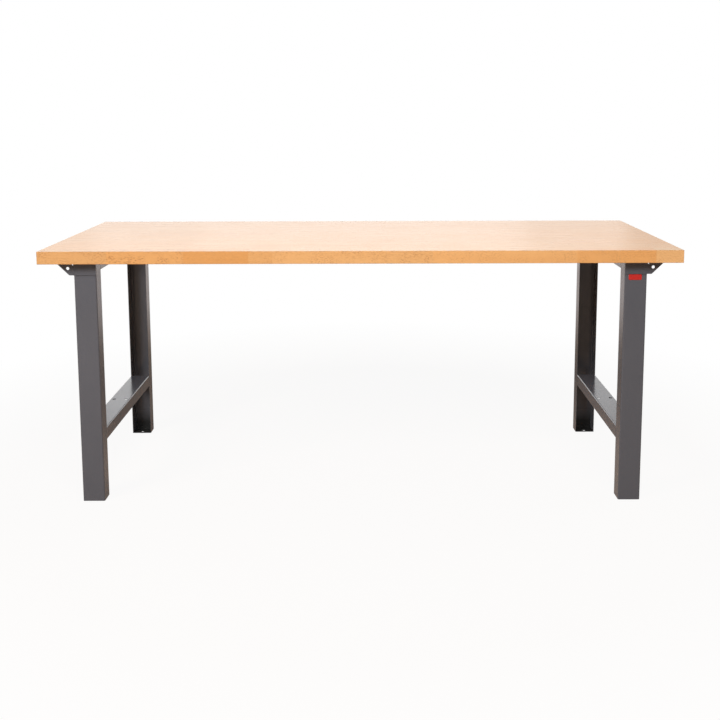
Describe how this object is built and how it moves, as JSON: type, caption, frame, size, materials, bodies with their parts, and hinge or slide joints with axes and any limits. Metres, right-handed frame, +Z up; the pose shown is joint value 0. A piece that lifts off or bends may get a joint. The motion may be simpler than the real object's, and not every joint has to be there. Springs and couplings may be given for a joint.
{
  "type": "work table",
  "caption": "Long work table: a thick solid beech top on two trestles of folded, painted sheet steel, with lower rails, slanted ear plates and foot plates.",
  "frame": {"origin": "middle of the table's footprint, on the floor", "axes": "+X along the tabletop's length, to the right seen from the front; +Y from the front edge to the rear edge; +Z up"},
  "size_m": [2, 0.75, 0.82],
  "materials": {
    "beech": "solid beech staves, sanded and oiled",
    "frame_paint": "glossy anthracite powder coat with a light orange peel",
    "zinc": "bright zinc plating"
  },
  "bodies": {
    "root": {"tabletop": "beech", "left_front_leg": "frame_paint", "left_rear_leg": "frame_paint", "right_front_leg": "frame_paint", "right_rear_leg": "frame_paint", "left_front_head_bracket": "frame_paint", "left_rear_head_bracket": "frame_paint", "right_front_head_bracket": "frame_paint", "right_rear_head_bracket": "frame_paint", "left_front_foot_plate": "frame_paint", "left_rear_foot_plate": "frame_paint", "right_front_foot_plate": "frame_paint", "right_rear_foot_plate": "frame_paint", "left_top_rail": "frame_paint", "right_top_rail": "frame_paint", "left_lower_rail": "frame_paint", "right_lower_rail": "frame_paint", "left_rail_screw_1": "zinc", "left_rail_screw_2": "zinc", "left_rail_screw_3": "zinc", "left_front_bracket_screw": "zinc", "left_rear_bracket_screw": "zinc", "right_rail_screw_1": "zinc", "right_rail_screw_2": "zinc", "right_rail_screw_3": "zinc", "right_front_bracket_screw": "zinc", "right_rear_bracket_screw": "zinc", "left_rail_washer_1": "zinc", "left_rail_washer_2": "zinc", "left_rail_washer_3": "zinc", "left_front_bracket_washer": "zinc", "left_rear_bracket_washer": "zinc", "right_rail_washer_1": "zinc", "right_rail_washer_2": "zinc", "right_rail_washer_3": "zinc", "right_front_bracket_washer": "zinc", "right_rear_bracket_washer": "zinc"}
  },
  "joints": []
}
